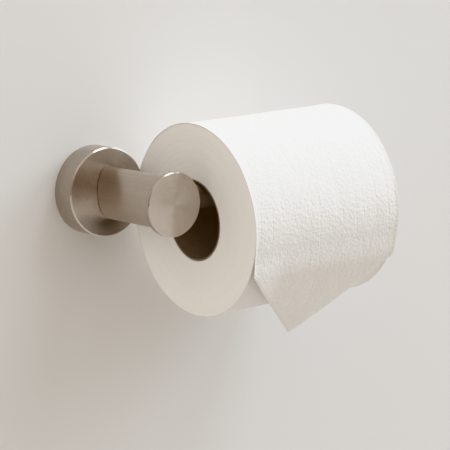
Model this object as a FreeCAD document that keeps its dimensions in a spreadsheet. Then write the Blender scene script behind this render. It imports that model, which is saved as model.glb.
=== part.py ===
"""A wall-held toilet paper holder with one open arm, loaded with a roll.

Millimetres. The origin is the centre of the flange on the wall's face. +X runs along the
arm, +Y into the wall and +Z up, so the holder stands out from the wall towards -Y.
"""

import FreeCAD, Part

import os
import re

import Sketcher

V = FreeCAD.Vector

SIZES = (
    # the flange, a cup that hides the bracket
    ("flange_diameter", 50.0),
    ("flange_depth", 15.0),
    ("flange_wall", 2.5),
    ("flange_face", 2.5),
    ("flange_bevel", 0.7),
    # the bracket screwed to the wall, and the groove round its rim
    ("bracket_gap", 0.3),
    ("bracket_thickness", 6.0),
    ("groove_depth", 1.5),
    # the wood screws and their plugs
    ("screw_pitch", 26.0),
    ("screw_diameter", 4.2),
    ("screw_head", 8.2),
    ("screw_length", 32.0),
    ("screw_point", 5.0),
    ("cross_length", 4.2),
    ("cross_width", 1.0),
    ("anchor_diameter", 6.0),
    ("anchor_length", 30.0),
    ("anchor_bore_depth", 25.0),
    ("anchor_recess", 2.1),
    ("anchor_slot", 0.8),
    ("anchor_slot_length", 18.0),
    ("anchor_nose", 2.0),
    # the grub screw that locks the flange
    ("grub_diameter", 4.0),
    ("grub_inset", 0.5),
    ("grub_tip", 0.4),
    ("grub_gap", 0.05),
    ("grub_key", 2.0),
    # the post and its end cap
    ("post_projection", 76.0),
    ("post_width", 14.0),
    ("post_height", 29.5),
    ("post_bevel", 0.5),
    ("cap_diameter", 35.0),
    ("cap_thickness", 3.2),
    ("cap_bevel", 0.5),
    ("spigot_diameter", 8.0),
    ("spigot_length", 9.0),
    # the screws that hold the post to the flange
    ("bolt_pitch", 16.0),
    ("bolt_diameter", 4.0),
    ("bolt_length", 14.0),
    ("bolt_head", 7.0),
    ("bolt_head_height", 4.0),
    ("bolt_key", 3.0),
    ("bolt_hole_depth", 12.5),
    ("washer_diameter", 7.6),
    ("washer_thickness", 0.8),
    # the arm
    ("arm_diameter", 15.0),
    ("arm_wall", 1.5),
    ("arm_reach", 143.0),
    ("arm_setback", 13.8),
    ("socket_depth", 1.8),
    ("socket_gap", 0.1),
    ("arm_cap_thickness", 2.0),
    ("arm_cap_bevel", 0.6),
    ("plug_length", 8.0),
    # the threaded joint between the arm and the post
    ("insert_length", 14.0),
    ("stud_diameter", 6.0),
    ("stud_key", 3.0),
    ("stud_engagement", 8.5),
    ("post_skin", 2.7),
    # the roll
    ("roll_gap", 0.7),
    ("roll_diameter", 106.5),
    ("roll_width", 102.6),
    ("core_bore", 43.4),
    ("core_wall", 0.8),
    ("core_gap", 0.25),
    ("winding_gap", 0.08),
    # the outermost sheets: angles are measured from the front, down and under the roll
    ("sheet_thickness", 0.3),
    ("sheet_gap", 0.05),
    ("sheet_start", 120.0),
    ("sheet_leave", 37.0),
    ("sheet_hang", 46.5),
    # general clearances
    ("thread_gap", 0.05),
    ("bolt_gap", 0.25),
    ("glue_gap", 0.05),
    ("key_depth", 2.0),
    # how far a cut stops short of an edge, or runs past one
    ("cut_margin", 1.0),
)

# Lengths that several pieces share, written with the names above.
FLANGE_RADIUS = "flange_diameter / 2"
CAVITY_RADIUS = "(flange_diameter / 2 - flange_wall)"
CAVITY_DEPTH = "(flange_depth - flange_face)"
BRACKET_RADIUS = "(flange_diameter / 2 - flange_wall - bracket_gap)"
GROOVE_RADIUS = "(flange_diameter / 2 - flange_wall - bracket_gap - groove_depth)"
HEAD_DEPTH = "((screw_head - screw_diameter) / 2)"
ARM_CENTRE = "(post_projection - cap_thickness - arm_setback)"
ARM_BORE = "(arm_diameter / 2 - arm_wall)"
SOCKET_FLOOR = "(post_width / 2 - socket_depth)"
TUBE_END = "(arm_reach - arm_cap_thickness)"
ROLL_LEFT = "(flange_diameter / 2 + roll_gap)"
ROLL_HEIGHT = "(arm_diameter / 2 + core_gap - core_bore / 2)"
SHEET_OUTER = "roll_diameter / 2"
SHEET_INNER = "(roll_diameter / 2 - sheet_thickness)"
WINDING_RADIUS = "(roll_diameter / 2 - sheet_thickness - sheet_gap)"

doc = FreeCAD.newDocument("ToiletPaperHolder")
sheet = doc.addObject("Spreadsheet::Sheet", "Sizes")
for row, (alias, value) in enumerate(SIZES, start=1):
    sheet.set(f"A{row}", alias)
    sheet.set(f"B{row}", str(value))
    sheet.setAlias(f"B{row}", alias)
doc.recompute()


def bound(text):
    """The expression with each size's name tied to its cell."""
    return re.sub(r"[a-z]+(?:_[a-z]+)+", lambda name: "Sizes." + name.group(0), text)


def number(text):
    """What an expression comes to now."""
    return float(sheet.evalExpression(bound(text)))


def new_body(name, y="0", z="0"):
    """An empty body whose own origin stands at y and z."""
    body = doc.addObject("PartDesign::Body", name)
    body.Label = name
    body.setExpression("Placement.Base.y", bound(y))
    body.setExpression("Placement.Base.z", bound(z))
    return body


def new_sketch(body, name, role, offset=None):
    """A sketch on one of the body's own planes, moved along the plane's normal by offset."""
    sketch = body.newObject("Sketcher::SketchObject", name)
    plane = next(f for f in body.Origin.OriginFeatures if f.Role == role)
    sketch.AttachmentSupport = (plane, [""])
    sketch.MapMode = "FlatFace"
    if offset:
        sketch.setExpression("AttachmentOffset.Base.z", bound(offset))
    return sketch


def tie(sketch, constraint, text):
    """Adds a constraint whose value is an expression."""
    index = sketch.addConstraint(Sketcher.Constraint(*constraint, number(text)))
    sketch.setExpression(f"Constraints[{index}]", bound(text))


def tie_point(sketch, geometry, end, x, y):
    """Ties one end of a piece of geometry to its place in the sketch."""
    tie(sketch, ("DistanceX", -1, 1, geometry, end), x)
    tie(sketch, ("DistanceY", -1, 1, geometry, end), y)


def outline(sketch, points):
    """A closed outline of straight lines through points, each a pair of expressions."""
    places = [V(number(x), number(y), 0) for x, y in points]
    count = len(places)
    for index, start in enumerate(places):
        sketch.addGeometry(Part.LineSegment(start, places[(index + 1) % count]), False)
    for index, (x, y) in enumerate(points):
        sketch.addConstraint(Sketcher.Constraint("Coincident", index, 2, (index + 1) % count, 1))
        tie_point(sketch, index, 1, x, y)


def circle(sketch, radius, x="0", y="0"):
    """A circle of a given radius about a place in the sketch."""
    centre = V(number(x), number(y), 0)
    index = sketch.addGeometry(Part.Circle(centre, V(0, 0, 1), number(radius)), False)
    tie(sketch, ("Radius", index), radius)
    tie_point(sketch, index, 3, x, y)


def hexagon(sketch, across_flats, x="0", y="0"):
    """A hexagon with two flats parallel to the sketch's vertical axis."""
    half = f"({across_flats}) / 2"
    corner = f"({across_flats}) / 2 / sqrt(3)"
    steps = ((half, corner), ("0", f"2 * {corner}"), (f"-{half}", corner))
    steps += ((f"-{half}", f"-{corner}"), ("0", f"-2 * {corner}"), (half, f"-{corner}"))
    outline(sketch, [(f"{x} + {across}", f"{y} + {up}") for across, up in steps])


def ellipse(sketch, width, height):
    """An ellipse about the sketch's origin."""
    top = V(0, number(height) / 2, 0)
    side = V(number(width) / 2, 0, 0)
    sketch.addGeometry(Part.Ellipse(top, side, V(0, 0, 0)), False)
    sketch.exposeInternalGeometry(0)
    sketch.addConstraint(Sketcher.Constraint("Coincident", 0, 3, -1, 1))
    sketch.addConstraint(Sketcher.Constraint("Vertical", 1))
    tie(sketch, ("Distance", 1), height)
    tie(sketch, ("Distance", 2), width)


def revolve(body, name, role, axis, points):
    """A solid of revolution about an axis of its sketch."""
    sketch = new_sketch(body, name + "_profile", role)
    outline(sketch, points)
    feature = body.newObject("PartDesign::Revolution", name)
    feature.Profile = sketch
    feature.ReferenceAxis = (sketch, [axis])
    feature.Angle = 360
    return feature


def extrude(body, kind, name, sketch, length, reverse=False, both=False):
    """A Pad or Pocket of a sketch, of a bound length."""
    feature = body.newObject("PartDesign::" + kind, name)
    feature.Profile = sketch
    feature.setExpression("Length", bound(length))
    feature.Reversed = reverse
    feature.Midplane = both
    return feature


def chamfer(body, name, base, size, on_edge):
    """Bevels the edges of base that on_edge picks."""
    doc.recompute()
    edges = base.Shape.Edges
    names = [f"Edge{index}" for index, edge in enumerate(edges, start=1) if on_edge(edge)]
    feature = body.newObject("PartDesign::Chamfer", name)
    feature.Base = (base, names)
    feature.setExpression("Size", bound(size))
    return feature


def pair(name, half):
    """The half and its mirror image below, as one group of two separate solids."""
    lower = doc.addObject("Part::Mirroring", name + "_lower")
    lower.Source = half
    lower.Base = V(0, 0, 0)
    lower.Normal = V(0, 0, 1)
    group = doc.addObject("Part::Compound", name)
    group.Label = name
    group.Links = [half, lower]
    return group


def make_flange():
    """A round cup, open towards the wall, with holes for its bolts and its grub screw."""
    body = new_body("flange")
    front, bevel = "-flange_depth", "flange_bevel"
    points = [
        ("0", front),
        (f"{FLANGE_RADIUS} - {bevel}", front),
        (FLANGE_RADIUS, f"{front} + {bevel}"),
        (FLANGE_RADIUS, "0"),
        (CAVITY_RADIUS, "0"),
        (CAVITY_RADIUS, f"-{CAVITY_DEPTH}"),
        ("0", f"-{CAVITY_DEPTH}"),
    ]
    revolve(body, "cup", "XY_Plane", "V_Axis", points)
    holes = new_sketch(body, "bolt_holes_outline", "XZ_Plane", "flange_depth + flange_wall")
    for side in ("", "-"):
        circle(holes, "bolt_diameter / 2 + bolt_gap", "0", f"{side}bolt_pitch / 2")
    extrude(body, "Pocket", "bolt_holes", holes, "2 * flange_wall + flange_face")
    hole = new_sketch(body, "grub_hole_outline", "XY_Plane")
    circle(hole, "grub_diameter / 2 + thread_gap", "0", "-bracket_thickness / 2")
    extrude(body, "Pocket", "grub_hole", hole, "flange_diameter")
    return body


def make_bracket():
    """A round plate with a V groove round its rim and two countersunk holes."""
    body = new_body("wall_bracket")
    middle = "-bracket_thickness / 2"
    points = [
        ("0", "0"),
        (BRACKET_RADIUS, "0"),
        (BRACKET_RADIUS, f"{middle} + groove_depth"),
        (GROOVE_RADIUS, middle),
        (BRACKET_RADIUS, f"{middle} - groove_depth"),
        (BRACKET_RADIUS, "-bracket_thickness"),
        ("0", "-bracket_thickness"),
    ]
    revolve(body, "plate", "XY_Plane", "V_Axis", points)
    for name, side in (("upper", ""), ("lower", "-")):
        centre = f"{side}screw_pitch / 2"
        hole = new_sketch(body, f"{name}_hole_outline", "XZ_Plane", "bracket_thickness")
        circle(hole, "screw_diameter / 2 + bolt_gap", "0", centre)
        extrude(body, "Pocket", f"{name}_hole", hole, "2 * bracket_thickness")
        sink = new_sketch(body, f"{name}_sink_outline", "YZ_Plane")
        rim = "screw_head / 2 + bolt_gap"
        outline(
            sink,
            [
                ("-bracket_thickness", centre),
                ("-bracket_thickness", f"{centre} + {rim}"),
                (f"-bracket_thickness + {rim}", centre),
            ],
        )
        cone = body.newObject("PartDesign::Groove", f"{name}_sink")
        cone.Profile = sink
        cone.ReferenceAxis = (sink, ["Edge3"])
        cone.Angle = 360
    return body


def make_screw():
    """The upper wood screw: a flush countersunk head, a plain shank and a point."""
    body = new_body("bracket_screw", z="screw_pitch / 2")
    head = "-bracket_thickness"
    radius, rim = "screw_diameter / 2", "screw_head / 2"
    end = "screw_length - bracket_thickness"
    points = [
        ("0", head),
        (rim, head),
        (radius, f"{head} + {HEAD_DEPTH}"),
        (radius, f"{end} - screw_point"),
        ("0", end),
    ]
    revolve(body, "screw", "XY_Plane", "V_Axis", points)
    across, up = ("cross_length", "cross_width"), ("cross_width", "cross_length")
    for name, (wide, high) in (("slot_across", across), ("slot_up", up)):
        slot = new_sketch(body, name + "_outline", "XZ_Plane", "bracket_thickness")
        corners = (("-", "-"), ("", "-"), ("", ""), ("-", ""))
        outline(slot, [(f"{a}{wide} / 2", f"{b}{high} / 2") for a, b in corners])
        extrude(body, "Pocket", name, slot, "key_depth")
    return body


def make_anchor():
    """The upper wall plug, sunk below the wall's face: a blunt-nosed sleeve with a split."""
    body = new_body("wall_anchor", "anchor_recess", "screw_pitch / 2")
    radius, bore = "anchor_diameter / 2", "(screw_diameter / 2 + thread_gap)"
    points = [
        (bore, "0"),
        (radius, "0"),
        (radius, "anchor_length - anchor_nose"),
        (f"{radius} - anchor_nose / 2", "anchor_length"),
        ("0", "anchor_length"),
        ("0", "anchor_bore_depth"),
        (bore, "anchor_bore_depth"),
    ]
    revolve(body, "sleeve", "XY_Plane", "V_Axis", points)
    slot = new_sketch(body, "split_outline", "XY_Plane")
    near, far = "anchor_length - anchor_slot_length", "anchor_bore_depth - cut_margin"
    across = "anchor_slot / 2"
    outline(slot, [(f"-{across}", near), (across, near), (across, far), (f"-{across}", far)])
    extrude(body, "Pocket", "split", slot, "2 * anchor_diameter", both=True)
    return body


def make_grub():
    """The cone-point grub screw under the flange, its tip in the bracket's groove."""
    body = new_body("set_screw", y="-bracket_thickness / 2")
    outer = f"-({FLANGE_RADIUS} - grub_inset)"
    apex = f"-({GROOVE_RADIUS} + grub_gap)"
    radius = "grub_diameter / 2"
    points = [
        ("0", outer),
        (radius, outer),
        (radius, f"{apex} - {radius}"),
        ("grub_tip", f"{apex} - grub_tip"),
        ("0", f"{apex} - grub_tip"),
    ]
    revolve(body, "grub", "XZ_Plane", "V_Axis", points)
    key = new_sketch(body, "key_outline", "XY_Plane", outer)
    hexagon(key, "grub_key")
    extrude(body, "Pocket", "key", key, "grub_key", reverse=True)
    return body


def make_post():
    """The elliptical post, bored for its bolts, its cap and the arm."""
    body = new_body("post")
    section = new_sketch(body, "section", "XZ_Plane", "flange_depth")
    ellipse(section, "post_width", "post_height")
    length = "post_projection - cap_thickness - flange_depth"
    bar = extrude(body, "Pad", "bar", section, length)
    back = -number("flange_depth")
    chamfer(body, "back_bevel", bar, "post_bevel", lambda e: e.BoundBox.YMin > back - 0.01)
    holes = new_sketch(body, "bolt_holes_outline", "XZ_Plane", "flange_depth")
    for side in ("", "-"):
        circle(holes, "bolt_diameter / 2 + thread_gap", "0", f"{side}bolt_pitch / 2")
    extrude(body, "Pocket", "bolt_holes", holes, "bolt_hole_depth", reverse=True)
    bore = new_sketch(body, "cap_bore_outline", "XZ_Plane", "post_projection - cap_thickness")
    circle(bore, "spigot_diameter / 2 + glue_gap")
    extrude(body, "Pocket", "cap_bore", bore, "spigot_length + 2 * glue_gap")
    socket = new_sketch(body, "socket_outline", "YZ_Plane", SOCKET_FLOOR)
    circle(socket, "arm_diameter / 2 + socket_gap", f"-{ARM_CENTRE}")
    extrude(body, "Pocket", "socket", socket, "post_width", reverse=True)
    tapped = new_sketch(body, "tapped_outline", "YZ_Plane", SOCKET_FLOOR)
    circle(tapped, "stud_diameter / 2 + thread_gap", f"-{ARM_CENTRE}")
    depth = f"{SOCKET_FLOOR} + post_width / 2 - post_skin"
    extrude(body, "Pocket", "tapped_hole", tapped, depth)
    return body


def make_end_cap():
    """The round disc on the post's front end, with the spigot behind it."""
    body = new_body("end_cap")
    front = "-post_projection"
    back = f"{front} + cap_thickness"
    radius, spigot = "cap_diameter / 2", "spigot_diameter / 2"
    points = [
        ("0", front),
        (f"{radius} - cap_bevel", front),
        (radius, f"{front} + cap_bevel"),
        (radius, back),
        (spigot, back),
        (spigot, f"{back} + spigot_length"),
        ("0", f"{back} + spigot_length"),
    ]
    revolve(body, "disc", "XY_Plane", "V_Axis", points)
    return body


def make_bolt():
    """The upper socket head screw that pulls the post against the flange."""
    body = new_body("post_screw", z="bolt_pitch / 2")
    seat = f"-({CAVITY_DEPTH} - washer_thickness)"
    head, radius = "bolt_head / 2", "bolt_diameter / 2"
    points = [
        ("0", f"{seat} + bolt_head_height"),
        (head, f"{seat} + bolt_head_height"),
        (head, seat),
        (radius, seat),
        (radius, f"{seat} - bolt_length"),
        ("0", f"{seat} - bolt_length"),
    ]
    revolve(body, "bolt", "XY_Plane", "V_Axis", points)
    top = f"{CAVITY_DEPTH} - washer_thickness - bolt_head_height"
    key = new_sketch(body, "key_outline", "XZ_Plane", top)
    hexagon(key, "bolt_key")
    extrude(body, "Pocket", "key", key, "key_depth", reverse=True)
    return body


def make_washer():
    """The upper washer, flat against the inside of the flange's face."""
    body = new_body("post_washer", z="bolt_pitch / 2")
    ring = new_sketch(body, "ring_outline", "XZ_Plane", CAVITY_DEPTH)
    circle(ring, "washer_diameter / 2")
    circle(ring, "bolt_diameter / 2 + bolt_gap / 2")
    extrude(body, "Pad", "ring", ring, "washer_thickness", reverse=True)
    return body


def ring_on_x(name, points, y, z="0"):
    """A ring turned about a line along X, from points of x and radius."""
    body = new_body(name, y, z)
    revolve(body, name + "_ring", "XY_Plane", "H_Axis", points)
    return body


def tube_points(left, right, inner, outer):
    return [(left, inner), (left, outer), (right, outer), (right, inner)]


def make_arm():
    """The arm's tube, its threaded plug and stud, and the cap at its open end."""
    centre = f"-{ARM_CENTRE}"
    tube = tube_points(SOCKET_FLOOR, TUBE_END, ARM_BORE, "arm_diameter / 2")
    ring_on_x("arm_tube", tube, centre)
    plug_end = f"{SOCKET_FLOOR} + insert_length"
    thread = "stud_diameter / 2 + thread_gap"
    insert = tube_points(SOCKET_FLOOR, plug_end, thread, ARM_BORE)
    ring_on_x("arm_insert", insert, centre)
    stud = new_body("arm_stud", centre)
    start, end = f"{SOCKET_FLOOR} - stud_engagement", f"{plug_end} - key_depth"
    section = new_sketch(stud, "section", "YZ_Plane", start)
    circle(section, "stud_diameter / 2")
    extrude(stud, "Pad", "rod", section, f"{end} - ({start})")
    key = new_sketch(stud, "key_outline", "YZ_Plane", end)
    hexagon(key, "stud_key")
    extrude(stud, "Pocket", "key", key, "key_depth")
    radius, plug = "arm_diameter / 2", f"({ARM_BORE} - glue_gap)"
    cap = [
        (f"{TUBE_END} - plug_length", "0"),
        (f"{TUBE_END} - plug_length", plug),
        (TUBE_END, plug),
        (TUBE_END, radius),
        ("arm_reach - arm_cap_bevel", radius),
        ("arm_reach", f"{radius} - arm_cap_bevel"),
        ("arm_reach", "0"),
    ]
    ring_on_x("arm_end_cap", cap, centre)


def make_roll():
    """The cardboard core, hung on the arm, and the paper wound on it."""
    right = f"{ROLL_LEFT} + roll_width"
    outer = "core_bore / 2 + core_wall"
    core = tube_points(ROLL_LEFT, right, "core_bore / 2", outer)
    ring_on_x("paper_core", core, f"-{ARM_CENTRE}", ROLL_HEIGHT)
    paper = tube_points(ROLL_LEFT, right, f"{outer} + winding_gap", WINDING_RADIUS)
    ring_on_x("paper_roll", paper, f"-{ARM_CENTRE}", ROLL_HEIGHT)


def on_roll(radius, angle):
    """A place on a circle about the roll, by its angle from the front, down and under."""
    return f"-({radius}) * cos({angle} * 1deg)", f"-({radius}) * sin({angle} * 1deg)"


def hung(radius):
    """The end of the straight stretch that leaves that circle at sheet_leave."""
    y, z = on_roll(radius, "sheet_leave")
    along, down = "sheet_hang * sin(sheet_leave * 1deg)", "sheet_hang * cos(sheet_leave * 1deg)"
    return f"{y} + {along}", f"{z} - {down}"


def arc_between(sketch, radius, start, end):
    """An arc about the sketch's origin between two places on it, anticlockwise."""
    around = Part.Circle(V(0, 0, 0), V(0, 0, 1), number(radius))
    first, last = (around.parameter(V(number(y), number(z), 0)) for y, z in (start, end))
    index = sketch.addGeometry(Part.ArcOfCircle(around, first, last), False)
    sketch.addConstraint(Sketcher.Constraint("Coincident", index, 3, -1, 1))
    tie_point(sketch, index, 1, *start)
    tie(sketch, ("DistanceY", -1, 1, index, 2), end[1])
    return index


def line_between(sketch, start, end):
    first = V(*(number(text) for text in start), 0)
    last = V(*(number(text) for text in end), 0)
    return sketch.addGeometry(Part.LineSegment(first, last), False)


def join(sketch, first, first_end, second, second_end):
    sketch.addConstraint(Sketcher.Constraint("Coincident", first, first_end, second, second_end))


def make_tail():
    """The outermost sheets: most of a turn round the roll, then free, ending in a point."""
    body = new_body("paper_tail", f"-{ARM_CENTRE}", ROLL_HEIGHT)
    side = new_sketch(body, "side_outline", "YZ_Plane", ROLL_LEFT)
    arcs = {}
    for radius in (SHEET_INNER, SHEET_OUTER):
        start, leave = on_roll(radius, "sheet_start"), on_roll(radius, "sheet_leave")
        arcs[radius] = arc_between(side, radius, start, leave)
    inner, outer = arcs[SHEET_INNER], arcs[SHEET_OUTER]
    inner_line = line_between(side, on_roll(SHEET_INNER, "sheet_leave"), hung(SHEET_INNER))
    outer_line = line_between(side, on_roll(SHEET_OUTER, "sheet_leave"), hung(SHEET_OUTER))
    start_line = line_between(
        side, on_roll(SHEET_INNER, "sheet_start"), on_roll(SHEET_OUTER, "sheet_start")
    )
    end_line = line_between(side, hung(SHEET_INNER), hung(SHEET_OUTER))
    join(side, inner, 2, inner_line, 1)
    join(side, outer, 2, outer_line, 1)
    join(side, start_line, 1, inner, 1)
    join(side, start_line, 2, outer, 1)
    join(side, end_line, 1, inner_line, 2)
    join(side, end_line, 2, outer_line, 2)
    tie_point(side, inner_line, 2, *hung(SHEET_INNER))
    tie_point(side, outer_line, 2, *hung(SHEET_OUTER))
    extrude(body, "Pad", "sheet", side, "roll_width")
    middle = f"({ROLL_LEFT} + roll_width / 2)"
    point = hung(SHEET_OUTER)[1]
    shoulder = f"({point} + (roll_width / 2 + cut_margin) * cos(sheet_leave * 1deg))"
    below = f"({point} - roll_width)"
    left, right = f"({ROLL_LEFT} - cut_margin)", f"({ROLL_LEFT} + roll_width + cut_margin)"
    corners = new_sketch(body, "corners_outline", "XZ_Plane")
    outline(
        corners,
        [
            (left, shoulder),
            (middle, point),
            (right, shoulder),
            (right, below),
            (left, below),
        ],
    )
    extrude(body, "Pocket", "corners", corners, "roll_diameter", reverse=True)
    return body


make_flange()
make_bracket()
pair("bracket_screws", make_screw())
pair("wall_anchors", make_anchor())
make_grub()
make_post()
pair("post_screws", make_bolt())
pair("post_washers", make_washer())
make_end_cap()
make_arm()
make_roll()
make_tail()
doc.recompute()

PIECES = {
    "flange": 1,
    "wall_bracket": 1,
    "bracket_screws": 2,
    "wall_anchors": 2,
    "set_screw": 1,
    "post": 1,
    "post_screws": 2,
    "post_washers": 2,
    "end_cap": 1,
    "arm_tube": 1,
    "arm_insert": 1,
    "arm_stud": 1,
    "arm_end_cap": 1,
    "paper_core": 1,
    "paper_roll": 1,
    "paper_tail": 1,
}

for item in doc.Objects:
    if "Invalid" in item.State or "Error" in item.State:
        raise RuntimeError(f"{item.Name} failed: {item.State}")

os.makedirs("parts", exist_ok=True)
for name, solids in PIECES.items():
    shape = doc.getObjectsByLabel(name)[0].Shape
    if shape.isNull() or not shape.isValid() or len(shape.Solids) != solids:
        raise RuntimeError(f"{name} is not {solids} valid solid(s)")
    shape.exportStep(f"parts/{name}.step")
    box = shape.BoundBox
    print(f"{name:15s} {shape.Volume:10.1f} mm3  x {box.XMin:7.2f} {box.XMax:7.2f}"
          f"  y {box.YMin:7.2f} {box.YMax:7.2f}  z {box.ZMin:7.2f} {box.ZMax:7.2f}")
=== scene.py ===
"""The looks of a wall-held toilet paper holder and its roll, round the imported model's frame.

Everything is in metres. +X runs along the arm, +Y into the wall and +Z up.
"""

import math

import bpy
import numpy as np
from mathutils import Matrix, Vector


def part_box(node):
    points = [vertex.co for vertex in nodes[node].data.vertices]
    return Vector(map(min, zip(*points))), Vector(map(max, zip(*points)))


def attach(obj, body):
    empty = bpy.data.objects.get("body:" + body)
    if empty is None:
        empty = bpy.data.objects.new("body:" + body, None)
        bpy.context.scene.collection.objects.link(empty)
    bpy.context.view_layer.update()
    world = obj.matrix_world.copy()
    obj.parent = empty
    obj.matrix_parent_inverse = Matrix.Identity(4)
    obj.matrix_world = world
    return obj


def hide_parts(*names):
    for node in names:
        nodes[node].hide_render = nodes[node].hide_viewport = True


MM = 0.001

# the camera's angles in degrees, its lens, its distance and its aim from the roll's middle
VIEW_AZIMUTH, VIEW_ELEVATION, VIEW_ROLL = -38.48, 10.45, -1.64
VIEW_LENS, VIEW_DISTANCE = 177.3, 1.2294
VIEW_AIM = Vector((-27.4, 2.9, -6.2)) * MM

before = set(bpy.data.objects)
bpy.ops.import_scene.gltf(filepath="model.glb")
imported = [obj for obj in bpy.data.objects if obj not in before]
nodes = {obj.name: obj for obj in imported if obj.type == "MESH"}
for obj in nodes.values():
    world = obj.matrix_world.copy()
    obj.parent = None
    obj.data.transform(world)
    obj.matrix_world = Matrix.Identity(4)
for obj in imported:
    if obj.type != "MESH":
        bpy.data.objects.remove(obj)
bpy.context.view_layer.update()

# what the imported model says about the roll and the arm
roll_low, roll_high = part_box("paper_roll")
core_low, core_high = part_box("paper_core")
arm_low, arm_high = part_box("arm_tube")
tail_low, tail_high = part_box("paper_tail")
AXIS = (roll_low + roll_high) / 2
ROLL_WIDTH = roll_high.x - roll_low.x
ROLL_RADIUS = (roll_high.z - roll_low.z) / 2
CORE_RADIUS = (core_high.z - core_low.z) / 2
SHEET_RADIUS = tail_high.z - AXIS.z

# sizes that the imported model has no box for, as in part.py
CORE_WALL = 0.8 * MM
WINDING_GAP = 0.08 * MM

# where the outer sheet comes out of the winding and where it leaves the roll, in degrees
# down from the front, and how far its point hangs below that
SHEET_START, SHEET_LEAVE, SHEET_HANG = 120.0, 37.0, 45.0 * MM


def place_camera():
    """The camera, at the viewing angle that the model was made for."""
    azimuth, elevation = math.radians(VIEW_AZIMUTH), math.radians(VIEW_ELEVATION)
    level = math.cos(elevation)
    back = Vector(
        (math.sin(azimuth) * level, -math.cos(azimuth) * level, math.sin(elevation))
    )
    camera = bpy.data.objects.new("camera", bpy.data.cameras.new("camera"))
    bpy.context.scene.collection.objects.link(camera)
    camera.data.lens = VIEW_LENS
    turn = back.to_track_quat("Z", "Y").to_matrix()
    turn = turn @ Matrix.Rotation(math.radians(VIEW_ROLL), 3, "Z")
    place = AXIS + VIEW_AIM + back * VIEW_DISTANCE
    camera.matrix_world = Matrix.Translation(place) @ turn.to_4x4()
    bpy.context.scene.camera = camera


place_camera()


# ---------------------------------------------------------------- node helpers


class Nodes:
    """A node tree under construction."""

    def __init__(self, tree):
        self.tree = tree

    def node(self, kind, inputs=None, **settings):
        """A new node. inputs are values or sockets, by the input's name or number."""
        made = self.tree.nodes.new(kind)
        for name, value in settings.items():
            setattr(made, name, value)
        for name, value in (inputs or {}).items():
            self.feed(made.inputs[name], value)
        return made

    def feed(self, socket, value):
        """Links a socket's output, or sets a plain value, on an input socket."""
        if isinstance(value, bpy.types.NodeSocket):
            self.tree.links.new(value, socket)
        else:
            socket.default_value = value

    def sums(self, operation, *values):
        """The result of one arithmetic operation on values or sockets."""
        made = self.node("ShaderNodeMath", operation=operation)
        for socket, value in zip(made.inputs, values):
            self.feed(socket, value)
        return made.outputs[0]

    def blend(self, *parts):
        """The sum of (value, share) parts."""
        (first, share), *others = parts
        total = self.sums("MULTIPLY", first, share)
        for value, share in others:
            total = self.sums("ADD", total, self.sums("MULTIPLY", value, share))
        return total

    def split(self, vector):
        """A vector's three parts."""
        return self.node("ShaderNodeSeparateXYZ", {0: vector}).outputs

    def span(self, value, low, high, to_low=0.0, to_high=1.0, **settings):
        """The value, with low to high spread over to_low to to_high."""
        inputs = {0: value, 1: low, 2: high, 3: to_low, 4: to_high}
        return self.node("ShaderNodeMapRange", inputs, **settings).outputs[0]

    def tint(self, share, none, whole):
        """A colour from none to whole, by share."""
        made = self.node("ShaderNodeMix", data_type="RGBA")
        self.feed(made.inputs[0], share)
        for socket, color in ((made.inputs[6], none), (made.inputs[7], whole)):
            is_socket = isinstance(color, bpy.types.NodeSocket)
            self.feed(socket, color if is_socket else (*color, 1))
        return made.outputs[2]


class Look(Nodes):
    """A material under construction."""

    def __init__(self, name):
        self.material = bpy.data.materials.new(name)
        self.material.use_nodes = True
        super().__init__(self.material.node_tree)
        self.surface = self.tree.nodes["Principled BSDF"]

    def where(self):
        """The point's place in the object, in metres."""
        return self.node("ShaderNodeTexCoord").outputs["Object"]

    def vector(self, x, y, z):
        return self.node("ShaderNodeCombineXYZ", {0: x, 1: y, 2: z}).outputs[0]

    def noise(self, vector, scale, detail=2.0, rough=0.5, w=None):
        """Noise over a place, over w, or over both."""
        made = self.node("ShaderNodeTexNoise")
        if w is not None:
            made.noise_dimensions = "4D"
            self.feed(made.inputs["W"], w)
        if vector is not None:
            self.feed(made.inputs["Vector"], vector)
        made.inputs["Scale"].default_value = scale
        made.inputs["Detail"].default_value = detail
        made.inputs["Roughness"].default_value = rough
        return made.outputs[0]

    def bump(self, height, depth, strength=1.0, under=None):
        """Relief of the given depth in metres, on top of another relief."""
        made = self.node("ShaderNodeBump", {"Height": height})
        made.inputs["Strength"].default_value = strength
        made.inputs["Distance"].default_value = depth
        if under is not None:
            self.feed(made.inputs["Normal"], under)
        return made.outputs[0]

    def finish(self, color, roughness, normal=None, **values):
        """The material, with the surface's other values set on its own sockets."""
        self.feed(self.surface.inputs["Base Color"], color)
        self.feed(self.surface.inputs["Roughness"], roughness)
        if normal is not None:
            self.feed(self.surface.inputs["Normal"], normal)
        for name, value in values.items():
            self.surface.inputs[name.replace("_", " ")].default_value = value
        return self.material


# ------------------------------------------------------------------- materials

# a noise is spread over this much of its range, round its middle
LOW, HIGH = 0.3, 0.7
NARROW_LOW, NARROW_HIGH = 0.35, 0.65

NICKEL_DARK, NICKEL_LIGHT = (0.46, 0.40, 0.347), (0.53, 0.466, 0.408)


def turned(look, axis, centre=(0.0, 0.0)):
    """Coordinates of grooves turned about an axis: round it, across it and along it."""
    x, y, z = look.split(look.where())
    along, a, b = {"X": (x, y, z), "Y": (y, x, z)}[axis]
    a, b = look.sums("SUBTRACT", a, centre[0]), look.sums("SUBTRACT", b, centre[1])
    squares = look.sums("ADD", look.sums("MULTIPLY", a, a), look.sums("MULTIPLY", b, b))
    across = look.sums("MAXIMUM", look.sums("SQRT", squares), 1e-5)
    return look.sums("DIVIDE", a, across), look.sums("DIVIDE", b, across), across, along


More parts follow.
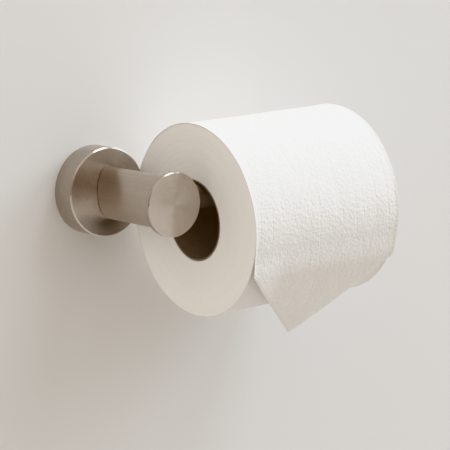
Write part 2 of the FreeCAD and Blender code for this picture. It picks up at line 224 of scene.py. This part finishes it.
def brushed_nickel(name, axis, lengthwise=False, centre=(0.0, 0.0), rough=0.30, painted_lightening=1.0):
    """Satin nickel with a fine brushed grain, turned about an axis or drawn along it, its
    colours scaled lighter by a share as painted light.
    """
    look = Look(name)
    if lengthwise:
        # the grain is this many times longer than it is wide
        stretch = 60.0
        x, y, z = look.split(look.where())
        slow = look.vector(
            look.sums("MULTIPLY", x, stretch), y, look.sums("MULTIPLY", z, stretch)
        )
        streaks = look.noise(slow, scale=90.0, detail=3.0, rough=0.6)
        bands = look.noise(slow, scale=9.0)
    else:
        grooves_per_metre, bands_per_metre, side_grooves_per_metre = 4200.0, 260.0, 700.0
        a, b, across, along = turned(look, axis, centre)
        round_it = look.vector(a, look.sums("MULTIPLY", along, side_grooves_per_metre), b)
        fine = look.sums("MULTIPLY", across, grooves_per_metre)
        broad = look.sums("MULTIPLY", across, bands_per_metre)
        streaks = look.noise(round_it, scale=6.0, detail=3.0, rough=0.6, w=fine)
        bands = look.noise(round_it, scale=1.5, w=broad)
    cloud = look.noise(look.where(), scale=40.0)
    share = look.blend((streaks, 0.65), (bands, 0.35))
    # painted light: the colours are scaled lighter by a share, which makes the post's nickel a
    # lighter copy of the same metal
    dark, light = (tuple(c * painted_lightening for c in color) for color in (NICKEL_DARK, NICKEL_LIGHT))
    color = look.tint(look.span(share, NARROW_LOW, NARROW_HIGH), dark, light)
    wear = look.blend((streaks, 0.6), (cloud, 0.4))
    gloss = look.span(wear, LOW, HIGH, rough - 0.05, rough + 0.07)
    normal = look.bump(streaks, 0.012 * MM, 0.7)
    tangent = look.node("ShaderNodeTangent", direction_type="RADIAL", axis=axis)
    look.feed(look.surface.inputs["Tangent"], tangent.outputs[0])
    return look.finish(
        color,
        gloss,
        normal,
        Metallic=1.0,
        Anisotropic=0.93,
        Anisotropic_Rotation=0.0 if lengthwise else 0.25,
    )


def plated_steel(name, dark, light, rough, metallic=1.0):
    """Barrel-plated steel: cloudy, with a fine grain."""
    look = Look(name)
    where = look.where()
    cloud = look.noise(where, scale=160.0, detail=4.0, rough=0.6)
    grain = look.noise(where, scale=2600.0)
    share = look.blend((cloud, 0.7), (grain, 0.3))
    return look.finish(
        look.tint(look.span(share, NARROW_LOW, NARROW_HIGH), dark, light),
        look.span(cloud, LOW, HIGH, rough - 0.08, rough + 0.08),
        look.bump(grain, 0.01 * MM, 0.6),
        Metallic=metallic,
    )


def moulded_nylon(name):
    """Grey moulded plug plastic, slightly mottled."""
    look = Look(name)
    where = look.where()
    cloud = look.noise(where, scale=220.0, detail=3.0)
    grain = look.noise(where, scale=3800.0)
    return look.finish(
        look.tint(look.span(cloud, LOW, HIGH), (0.52, 0.53, 0.53), (0.62, 0.62, 0.61)),
        look.span(cloud, LOW, HIGH, 0.42, 0.55),
        look.bump(grain, 0.01 * MM, 0.5),
    )


def core_board(name):
    """Grey-brown paperboard whose fibres lie mostly along the tube."""
    look = Look(name)
    where = look.where()
    x, y, z = look.split(where)
    lying = look.vector(look.sums("MULTIPLY", x, 0.35), y, z)
    fibres = look.noise(lying, scale=1500.0, detail=4.0, rough=0.65)
    cloud = look.noise(where, scale=120.0, detail=3.0)
    share = look.blend((fibres, 0.6), (cloud, 0.4))
    dark, light = (0.25, 0.195, 0.153), (0.34, 0.272, 0.218)
    return look.finish(
        look.tint(look.span(share, NARROW_LOW, NARROW_HIGH), dark, light),
        look.span(fibres, LOW, HIGH, 0.85, 0.97),
        look.bump(fibres, 0.05 * MM, 0.6),
    )


# the outer sheet's colours, painted shade in its emboss's hollows and painted highlight on its
# raised parts, and those of the wound paper
TISSUE_PAINTED_SHADE, TISSUE_PAINTED_HIGHLIGHT = (0.86, 0.845, 0.825), (0.905, 0.895, 0.88)
WOUND_SHADE, WOUND_LIGHT = (0.868, 0.852, 0.826), (0.905, 0.89, 0.868)
TISSUE_ROUGH = (0.9, 1.0)

# heights above the roll's axis between which the sheet's emboss grows to its full depth
PLAIN_BELOW, CRISP_ABOVE, PLAIN_SHARE = -46 * MM, -20 * MM, 0.3


def emboss(look, where, crepe):
    """Height of the pebbled emboss of toilet tissue."""
    pebbles = look.node(
        "ShaderNodeTexVoronoi",
        {"Vector": where},
        feature="SMOOTH_F1",
    )
    for name, value in (("Scale", 520.0), ("Smoothness", 0.6), ("Randomness", 0.85)):
        pebbles.inputs[name].default_value = value
    return look.blend((pebbles.outputs["Distance"], 0.55), (crepe, 0.6))


def tissue(name):
    """Soft crepe tissue: pebbled emboss over fine fibres, with creases round the roll, and
    painted shade in the emboss's hollows and painted highlight on its raised parts.
    """
    look = Look(name)
    where = look.where()
    crepe = look.noise(where, scale=900.0, detail=3.0, rough=0.55)
    fibres = look.noise(where, scale=3200.0)
    folds = look.noise(where, scale=46.0, rough=0.45)
    relief = emboss(look, where, crepe)
    # the emboss is pulled flat towards the free end
    x, y, z = look.split(where)
    crisp = look.span(z, AXIS.z + PLAIN_BELOW, AXIS.z + CRISP_ABOVE, PLAIN_SHARE, 1.0)
    # creases are where a noise, drawn out round the roll, passes through its middle
    drawn_out = 0.13
    lengthwise = look.vector(
        x, look.sums("MULTIPLY", y, drawn_out), look.sums("MULTIPLY", z, drawn_out)
    )
    off_middle = look.sums("SUBTRACT", look.noise(lengthwise, scale=95.0, detail=1.0), 0.5)
    crease = look.span(look.sums("ABSOLUTE", off_middle), 0.0, 0.045)
    normal = look.bump(folds, 1.2 * MM, 0.25)
    normal = look.bump(crease, 0.16 * MM, 0.6, normal)
    normal = look.bump(look.sums("MULTIPLY", relief, crisp), 0.52 * MM, 0.85, normal)
    normal = look.bump(fibres, 0.04 * MM, 0.5, normal)
    return look.finish(
        # painted shade and highlight: the colour is darker in the emboss's hollows and lighter
        # on its raised parts
        look.tint(look.span(relief, 0.35, 0.75), TISSUE_PAINTED_SHADE, TISSUE_PAINTED_HIGHLIGHT),
        look.span(crepe, LOW, HIGH, *TISSUE_ROUGH),
        normal,
        Sheen_Weight=0.15,
        Sheen_Roughness=0.6,
    )


def wound_tissue(name):
    """The roll's body: rings of paper edges on its ends, and crepe round it."""
    look = Look(name)
    where = look.where()
    a, b, across, along = turned(look, "X", (AXIS.y, AXIS.z))
    wobble = look.noise(look.vector(a, 0.0, b), scale=1.6)
    ring = look.sums("ADD", across, look.sums("MULTIPLY", wobble, 0.9 * MM))
    edges = look.noise(
        None, scale=1.0, detail=3.0, rough=0.7, w=look.sums("MULTIPLY", ring, 2400.0)
    )
    bands = look.noise(None, scale=1.0, w=look.sums("MULTIPLY", ring, 210.0))
    crepe = look.noise(where, scale=1100.0, detail=3.0, rough=0.55)
    share = look.blend((edges, 0.35), (bands, 0.65))
    # the emboss shows round the roll, and the paper's edges show on its ends
    off_middle = look.sums("ABSOLUTE", look.sums("SUBTRACT", along, AXIS.x))
    half = ROLL_WIDTH / 2
    on_round = look.span(off_middle, half - 1.2 * MM, half - 0.6 * MM, 1.0, 0.0)
    relief = look.sums("MULTIPLY", emboss(look, where, crepe), on_round)
    normal = look.bump(relief, 0.4 * MM, 0.6)
    normal = look.bump(edges, 0.05 * MM, 0.5, normal)
    normal = look.bump(crepe, 0.12 * MM, 0.6, normal)
    return look.finish(
        look.tint(look.span(share, LOW, HIGH), WOUND_SHADE, WOUND_LIGHT),
        look.span(crepe, LOW, HIGH, *TISSUE_ROUGH),
        normal,
        Sheen_Weight=0.1,
    )


ARM_CENTRE = tuple(((arm_low + arm_high) / 2).yz)
turned_nickel = brushed_nickel("nickel_turned", "Y", rough=0.25)
# the post's nickel is a copy of the same nickel, painted lighter
drawn_nickel = brushed_nickel("nickel_drawn", "Y", lengthwise=True, rough=0.33, painted_lightening=1.14)
arm_nickel = brushed_nickel("nickel_arm", "X", centre=ARM_CENTRE, rough=0.3)
zinc = plated_steel("zinc_plate", (0.50, 0.51, 0.53), (0.66, 0.67, 0.68), 0.36)
black_steel = plated_steel("black_oxide", (0.018, 0.018, 0.02), (0.05, 0.05, 0.052), 0.45, 0.6)
nylon = moulded_nylon("plug_nylon")
board = core_board("core_paperboard")
sheet_tissue = tissue("tissue_sheet")
roll_tissue = wound_tissue("tissue_wound")

NODE_LOOKS = {
    "flange": turned_nickel,
    "end_cap": turned_nickel,
    "post": drawn_nickel,
    "arm_tube": arm_nickel,
    "arm_end_cap": arm_nickel,
    "wall_bracket": zinc,
    "bracket_screws": zinc,
    "post_washers": zinc,
    "arm_insert": zinc,
    "arm_stud": zinc,
    "set_screw": black_steel,
    "post_screws": black_steel,
    "wall_anchors": nylon,
}
for name, look in NODE_LOOKS.items():
    nodes[name].data.materials.clear()
    nodes[name].data.materials.append(look)


# ------------------------------------------------------------------ mesh pieces


def new_piece(name, points, faces, look, sharp=35.0):
    """A smooth-shaded mesh object with edges sharper than the given angle kept."""
    mesh = bpy.data.meshes.new(name)
    mesh.from_pydata([tuple(p) for p in points], [], [tuple(f) for f in faces])
    mesh.validate()
    mesh.materials.append(look)
    mesh.shade_smooth()
    mesh.set_sharp_from_angle(angle=math.radians(sharp))
    piece = bpy.data.objects.new(name, mesh)
    bpy.context.scene.collection.objects.link(piece)
    return piece


def smooth_step(value, low, high):
    t = np.clip((value - low) / (high - low), 0.0, 1.0)
    return t * t * (3.0 - 2.0 * t)


def spun(profile, count, offset):
    """Points and faces of a closed profile of (x, radius) rows spun round the roll's axis.

    offset(x, radius, angle) gives each point's change of x and radius.
    """
    profile = np.array(profile, float)
    angles = np.arange(count) * (2 * math.pi / count)
    x = np.repeat(profile[:, 0:1], count, 1)
    radius = np.repeat(profile[:, 1:2], count, 1)
    angle = np.repeat(angles[None], len(profile), 0)
    dx, dr = offset(x, radius, angle)
    x, radius = x + dx, radius + dr
    points = np.stack(
        [x, AXIS.y - radius * np.cos(angle), AXIS.z - radius * np.sin(angle)], -1
    )
    faces = []
    rows = len(profile)
    for i in range(rows):
        j = (i + 1) % rows
        for k in range(count):
            m = (k + 1) % count
            faces.append((i * count + k, i * count + m, j * count + m, j * count + k))
    return points.reshape(-1, 3), faces


def waves(u, v, terms):
    """A sum of slow waves over two coordinates, one for each (size, per u, per v, phase)."""
    total = 0.0
    for size, per_u, per_v, phase in terms:
        total = total + size * np.sin(per_u * u + per_v * v + phase)
    return total


# the paper's edges stand up a little at both ends of the roll
RIM_FLARE, RIM_REACH = 0.36 * MM, 1.1 * MM


def rim(from_edge):
    """How far the flare has grown, from 0 to 1."""
    return np.exp(-((from_edge / RIM_REACH) ** 2))


# how much the roll is slimmer, to leave room for the outer sheet's slack
UNDER_SHEET = 0.16 * MM
ROLL_SOFT, ROLL_BEVEL = 0.3 * MM, 0.3 * MM
# waves over the radius in millimetres and the angle, in millimetres: the ends' rings
RING_WAVES = ((0.012, 2.1, 1.0, 0.3), (0.01, 4.7, -1.0, 1.9), (0.03, 0.31, 2.0, 0.8))
# how many millimetres the ends are hollowed, and how far in from an end this reaches
END_DISH, END_REACH = 0.10, 1.2 * MM


def make_roll():
    """The wound paper: a ring with soft edges and faintly stepped ends."""
    inner, outer = CORE_RADIUS + WINDING_GAP, ROLL_RADIUS - UNDER_SHEET
    left, right = roll_low.x, roll_high.x
    middle, half = (left + right) / 2, (right - left) / 2
    soft = ROLL_SOFT
    rings_on_end, rows_on_round, rows_in_bore, around = 64, 22, 14, 192
    radii = np.linspace(inner + ROLL_BEVEL, outer - soft, rings_on_end)
    # the two corners, as (depth, drop) from the end's plane and the round face
    turns = [math.radians(a) for a in (22.5, 45, 67.5, 90)]
    corner = [(soft * (1 - math.cos(a)), soft * (1 - math.sin(a))) for a in turns]
    edge = np.array([0.8, 1.4, 2.0, 2.8]) * MM
    body = np.linspace(left + 4 * MM, right - 4 * MM, rows_on_round)
    body = np.concatenate([left + edge, body, (right - edge)[::-1]])
    profile = [(left + ROLL_BEVEL, inner)]
    profile += [(left, r) for r in radii]
    profile += [(left + depth, outer - drop) for depth, drop in corner]
    profile += [(x, outer) for x in body]
    profile += [(right - depth, outer - drop) for depth, drop in reversed(corner)]
    profile += [(right, r) for r in reversed(radii)]
    profile += [(right - ROLL_BEVEL, inner)]
    profile += [(x, inner) for x in np.linspace(right, left, rows_in_bore)[1:-1]]

    def offset(x, radius, angle):
        depth = (radius - inner) / (outer - inner)
        steps = waves(radius / MM, angle, RING_WAVES)
        near_end = smooth_step(np.abs(x - middle), half - END_REACH, half)
        face = near_end * smooth_step(depth, 0.0, 0.04) * (1 - smooth_step(depth, 0.97, 1.0))
        dx = -np.sign(x - middle) * face * (END_DISH + steps) * MM
        # the rims stand up, under the outer sheet
        stands = (RIM_FLARE + UNDER_SHEET) * rim(np.minimum(x - left, right - x))
        return dx, stands * smooth_step(depth, 0.9, 1.0)

    points, faces = spun(profile, around, offset)
    return new_piece("wound_paper", points, faces, roll_tissue)


CORE_EDGE = 0.18 * MM
# the spiral ply's length along the tube for one turn, and its seam: how many millimetres
# high, and how far from its middle it starts and ends to fall away
PLY_TURN = 96.0 * MM
SEAM_HEIGHT, SEAM_FLAT, SEAM_WIDE = 0.16, 0.25 * MM, 1.1 * MM
# a point this far round the ply is this share of that far from the seam
SEAM_SLANT = 0.82
# waves in millimetres: the ply's, over x in millimetres and the angle, and the cut edge's
PLY_WAVES = ((0.03, 0.11, 1.0, 0.5), (0.03, -0.07, 2.0, 1.1))
CUT_WAVES = ((0.05, 9.0, 0.0, 0.4), (0.04, 23.0, 0.0, 1.7))


def make_core():
    """The paperboard tube, with the seam of its spiral ply inside."""
    outer, inner = CORE_RADIUS, CORE_RADIUS - CORE_WALL
    left, right = core_low.x, core_high.x
    edge = CORE_EDGE
    rows_inside, rows_outside, around = 90, 12, 144
    profile = [(x, inner) for x in np.linspace(right - edge, left + edge, rows_inside)]
    profile += [(left, inner + edge), (left, outer - edge)]
    profile += [(x, outer) for x in np.linspace(left + edge, right - edge, rows_outside)]
    profile += [(right, outer - edge), (right, inner + edge)]

    def offset(x, radius, angle):
        wound = (x - left) / PLY_TURN + angle / (2 * math.pi)
        off = np.abs(wound - np.round(wound)) * PLY_TURN * SEAM_SLANT
        seam = 1 - smooth_step(off, SEAM_FLAT, SEAM_WIDE)
        ply = waves(x / MM, angle, PLY_WAVES)
        is_inside = radius < inner + edge / 2
        dr = np.where(is_inside, (SEAM_HEIGHT * seam + ply) * MM, 0.0)
        is_cut = (x < left + edge / 2) | (x > right - edge / 2)
        dx = np.where(is_cut, waves(angle, x, CUT_WAVES) * MM, 0.0)
        return dx, dr

    points, faces = spun(profile, around, offset)
    return new_piece("core_tube", points, faces, board)


# the sheet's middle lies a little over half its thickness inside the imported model's radius
SHEET_THICKNESS, SHEET_INSET = 0.22 * MM, 0.12 * MM
MIDDLE_RADIUS = SHEET_RADIUS - SHEET_INSET
WRAP = math.radians(360.0 + SHEET_LEAVE - SHEET_START)
WRAP_LENGTH = WRAP * MIDDLE_RADIUS
SHEET_LENGTH = WRAP_LENGTH + SHEET_HANG

# how far the sheet's start is sunk into the winding, and over what length
TUCK, TUCK_LENGTH = 0.35 * MM, 16.0 * MM
# the folded corners hold the sheet off the roll, from the first angle to the second
FOLD_LIFT, FOLD_LIFT_FROM, FOLD_LIFT_TO = 1.7 * MM, 14.0, 31.0
# the left edge hangs clear of the roll: from what angle, over what width, and what share
# of the distance that a straight line down from there would keep
EDGE_LIFT_FROM, EDGE_LIFT_MOST, EDGE_LIFT_WIDTH, EDGE_LIFT_SHARE = 3.0, 40.0, 24.0 * MM, 0.36
# how far the hanging end bows outward at its middle
FREE_BOW = 0.9 * MM
# waves in millimetres over the sheet's width and length in millimetres
SLACK_WAVES = (
    (0.05, 0.21, 0.05, 0.4),
    (0.04, -0.13, 0.11, 2.2),
    (0.03, 0.34, -0.17, 1.1),
    (0.03, 0.05, 0.31, 0.2),
    (0.02, 0.58, 0.23, 2.9),
)


def sheet_surface(u, s):
    """Points and outward normals of the outer sheet, u across it and s along it."""
    start = math.radians(SHEET_START)
    angle = start + np.minimum(s, WRAP_LENGTH) / MIDDLE_RADIUS
    free = np.maximum(s - WRAP_LENGTH, 0.0)
    normal = np.stack([np.zeros_like(s), -np.cos(angle), -np.sin(angle)], -1)
    run = np.stack([np.zeros_like(s), np.sin(angle), -np.cos(angle)], -1)
    below = np.degrees(angle) - 360.0
    lift = FOLD_LIFT * smooth_step(below, FOLD_LIFT_FROM, FOLD_LIFT_TO)
    steep = np.radians(np.clip(below - EDGE_LIFT_FROM, 0.0, EDGE_LIFT_MOST))
    edge = 1 - smooth_step(u, 0.0, EDGE_LIFT_WIDTH)
    lift = lift + MIDDLE_RADIUS * (1 / np.cos(steep) - 1) * edge * EDGE_LIFT_SHARE
    lift = lift - TUCK * (1 - smooth_step(s, 0.0, TUCK_LENGTH))
    lift = lift + RIM_FLARE * rim(np.minimum(u, ROLL_WIDTH - u))
    lift = lift + waves(u / MM, s / MM, SLACK_WAVES) * MM
    bow = FREE_BOW * np.sin(np.clip(free / SHEET_HANG, 0, 1) * math.pi)
    place = normal * (MIDDLE_RADIUS + lift + bow)[..., None] + run * free[..., None]
    place = place + np.array([0.0, AXIS.y, AXIS.z])
    place[..., 0] = roll_low.x + u
    return place, normal


# the folds' inner radius, how far a folded corner opens, and how far the two stay apart
FOLD_RADIUS = 0.2 * MM
FLAP_OPEN = 0.6 * MM
FLAP_GAP = 0.25 * MM
# the left fold line starts this much higher than the right one
LEFT_FOLD_EXTRA = 3.5 * MM
# a point this near a fold line, in metres, lies on it
ON_FOLD = 1e-9


def make_sheet():
    """The outer sheet: round the roll, then free, its corners folded behind to a point."""
    half = ROLL_WIDTH / 2
    rows_in_half, columns_on_roll = 30, 150
    fine = np.array([0, 0.4, 0.8, 1.3, 1.9, 2.7, 3.7, 5.0]) * MM
    step = np.concatenate([fine, np.linspace(fine[-1], half, rows_in_half)[1:]])
    across = np.concatenate([step, (ROLL_WIDTH - step[:-1])[::-1]])
    wrapped = np.linspace(0.0, 1.0, columns_on_roll)[:-1]
    u = np.repeat(across[:, None], len(wrapped) + len(step), 1)
    left_side = u <= half
    nearer = np.minimum(u, ROLL_WIDTH - u)
    # the grid has a diagonal of points along each fold line, and both lines end at the point
    slope = np.where(left_side, 1 + LEFT_FOLD_EXTRA / half, 1.0)
    column = np.concatenate([np.zeros(len(wrapped)), step])[None]
    inward = np.clip((nearer - column) / np.maximum(half - column, ON_FOLD), 0.0, 1.0)
    s = SHEET_LENGTH - (half - column) * (1 + (slope - 1) * (1 - inward))
    s[:, : len(wrapped)] *= wrapped
    # past, in flat measure, is how far a point lies beyond the nearer fold line
    past = s - (SHEET_LENGTH - (half - nearer) * slope)
    folded = past > ON_FOLD
    on_fold = np.abs(past) <= ON_FOLD
    # a folded point swaps its distances from the edge and past the shoulder
    shoulder = SHEET_LENGTH - half * slope
    gap = FLAP_GAP * np.clip(past / (4 * FLAP_GAP), 0.0, 1.0)
    swap_u = (s - shoulder) / slope - gap
    swap_u = np.where(left_side, swap_u, ROLL_WIDTH - swap_u)
    swap_s = shoulder + nearer * slope
    real_u, real_s = np.where(folded, swap_u, u), np.where(folded, swap_s, s)
    place, normal = sheet_surface(real_u, real_s)
    # the outward way across the fold, in the sheet's plane
    small = 0.1 * MM
    down = (sheet_surface(real_u, real_s + small)[0] - place) / small
    side = np.where(left_side, -1.0, 1.0)
    outward = down + side[..., None] * np.array([1.0, 0.0, 0.0])
    outward = outward / np.linalg.norm(outward, axis=-1, keepdims=True)
    way = np.where(folded[..., None], -normal, normal)
    way = np.where(on_fold[..., None], outward, way)
    opened = FLAP_OPEN * np.clip(past / half, 0, 1)
    depth = np.where(folded, 2 * FOLD_RADIUS + opened, 0.0)
    depth = np.where(on_fold, FOLD_RADIUS, depth)
    place = place - normal * depth[..., None]
    front = place + way * SHEET_THICKNESS / 2
    behind = place - way * SHEET_THICKNESS / 2
    points = np.concatenate([front.reshape(-1, 3), behind.reshape(-1, 3)])
    faces = sheet_faces(*u.shape, len(step) - 1, len(wrapped))
    return new_piece("outer_sheet", points, faces, sheet_tissue, 50.0)


def sheet_faces(rows, cols, middle_row, first_fold):
    """Faces of the sheet's front, back and rim; the folded part is cut along its diagonals."""
    count = rows * cols
    faces = []

    def number(i, j):
        return i * cols + j

    for i in range(rows - 1):
        for j in range(cols - 1):
            a, b, c, d = number(i, j), number(i + 1, j), number(i + 1, j + 1), number(i, j + 1)
            if j < first_fold:
                parts = [(a, b, c, d)]
            elif i < middle_row:
                parts = [(a, b, c), (a, c, d)]
            else:
                parts = [(a, b, d), (b, c, d)]
            for part in parts:
                faces.append(part)
                faces.append(tuple(count + k for k in reversed(part)))
    border = [number(i, 0) for i in range(rows)]
    border += [number(rows - 1, j) for j in range(1, cols)]
    border += [number(i, cols - 1) for i in range(rows - 2, -1, -1)]
    border += [number(0, j) for j in range(cols - 2, 0, -1)]
    for a, b in zip(border, border[1:] + border[:1]):
        faces.append((b, a, count + a, count + b))
    return faces


wound_paper = make_roll()
core_tube = make_core()
outer_sheet = make_sheet()

for piece, body, node, slot in (
    (wound_paper, "paper", "paper_roll", "tissue"),
    (outer_sheet, "paper", "paper_tail", "tissue"),
    (core_tube, "core", "paper_core", "core_board"),
):
    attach(piece, body)
    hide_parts(node)


# ------------------------------------------------------------- stage and lights

# the flange hides a hole in the wall, so that the plugs don't pass through it
WALL_HOLE = 24.6 * MM
WALL_MIDDLE, WALL_REACH = 0.2, 3.0
FLOOR_DEPTH = 0.5
STAGE_COLOR = (0.80, 0.79, 0.775)


def stage_look(name):
    """Pale paint that shows only from its front, so that the back views see past the wall."""
    look = Look(name)
    cloud = look.noise(look.where(), scale=3.0)
    dull = tuple(c * 0.985 for c in STAGE_COLOR)
    color = look.tint(look.span(cloud, LOW, HIGH), dull, STAGE_COLOR)
    look.finish(color, 0.9, Specular_IOR_Level=0.1)
    clear = look.node("ShaderNodeBsdfTransparent")
    behind = look.node("ShaderNodeNewGeometry").outputs["Backfacing"]
    mix = look.node(
        "ShaderNodeMixShader",
        {0: behind, 1: look.surface.outputs[0], 2: clear.outputs[0]},
    )
    look.feed(look.tree.nodes["Material Output"].inputs[0], mix.outputs[0])
    return look.material


def make_wall():
    """The wall: a wide sheet at y = 0 with a hole that the flange hides."""
    count = 96
    points, faces = [], []
    reach = (WALL_HOLE, WALL_MIDDLE, WALL_REACH)
    for radius in reach:
        for k in range(count):
            angle = 2 * math.pi * k / count
            points.append((radius * math.cos(angle), 0.0, radius * math.sin(angle)))
    for i in range(len(reach) - 1):
        for k in range(count):
            a, b = i * count + k, i * count + (k + 1) % count
            faces.append((a, b, b + count, a + count))
    wall = new_piece("wall", points, faces, stage_look("wall_paint"))
    if wall.data.polygons[0].normal.y > 0:
        wall.data.flip_normals()
    # light from behind passes, so that the back views aren't dark
    wall.visible_shadow = False
    wall.visible_diffuse = False
    return wall


def make_floor():
    """The floor, which throws no light back up."""
    low = -FLOOR_DEPTH
    points = [(-4, -6, low), (4, -6, low), (4, 0, low), (-4, 0, low)]
    floor = new_piece("floor", points, [(0, 1, 2, 3)], stage_look("floor_paint"))
    floor.visible_diffuse = False
    return floor


make_wall()
make_floor()

LIGHT_DISTANCE = 3.6


def add_area_light(name, way, size, watts, color):
    """A round soft light that shines on the roll from the direction way."""
    data = bpy.data.lights.new(name, "AREA")
    data.shape = "DISK"
    data.size = size
    data.energy = watts
    data.color = color
    light = bpy.data.objects.new(name, data)
    bpy.context.scene.collection.objects.link(light)
    way = Vector(way).normalized()
    light.rotation_euler = way.to_track_quat("Z", "Y").to_euler()
    light.location = AXIS + way * LIGHT_DISTANCE


add_area_light("key", (0.86, -0.26, 0.44), size=2.2, watts=76.0, color=(0.72, 0.86, 1.0))
add_area_light("top", (0.40, -0.29, 0.90), size=1.7, watts=50.0, color=(0.74, 0.87, 1.0))

# the room's light, its darker side with the direction's cosines where it starts and is whole,
# and the plain backdrop that the camera sees
ROOM_LIGHT, ROOM_DARK = (0.905, 0.85, 0.79), (0.42, 0.37, 0.31)
DARK_WAY, DARK_START, DARK_WHOLE = Vector((-0.62, -0.76, -0.12)), 0.62, 0.95
BACKDROP = (0.78, 0.77, 0.75)
# shares of the light at both ends of x and of z
LEFT_SHARE, RIGHT_SHARE = 1.12, 0.88
LOW_SHARE, HIGH_SHARE = 0.8, 1.14


def make_world():
    """Warm room light: brighter above and to the left, dark behind the camera."""
    world = bpy.data.worlds.new("room")
    bpy.context.scene.world = world
    world.use_nodes = True
    room = Nodes(world.node_tree)
    way = room.node("ShaderNodeTexCoord").outputs["Generated"]
    dark_way = DARK_WAY.normalized()
    dot = room.node("ShaderNodeVectorMath", {0: way, 1: dark_way}, operation="DOT_PRODUCT")
    dark = room.span(
        dot.outputs["Value"], DARK_START, DARK_WHOLE, interpolation_type="SMOOTHSTEP"
    )
    light = room.tint(dark, ROOM_LIGHT, ROOM_DARK)
    x, _, z = room.split(way)
    share = room.sums(
        "MULTIPLY",
        room.span(x, -1.0, 1.0, LEFT_SHARE, RIGHT_SHARE),
        room.span(z, -1.0, 1.0, LOW_SHARE, HIGH_SHARE),
    )
    leaning = room.node("ShaderNodeVectorMath", {0: light, "Scale": share}, operation="SCALE")
    seen = room.node("ShaderNodeLightPath").outputs["Is Camera Ray"]
    back = room.tree.nodes["Background"]
    room.feed(back.inputs[0], room.tint(seen, leaning.outputs[0], BACKDROP))
    back.inputs["Strength"].default_value = 1.0


make_world()
bpy.context.scene.view_settings.view_transform = "Khronos PBR Neutral"
bpy.context.scene.view_settings.look = "None"
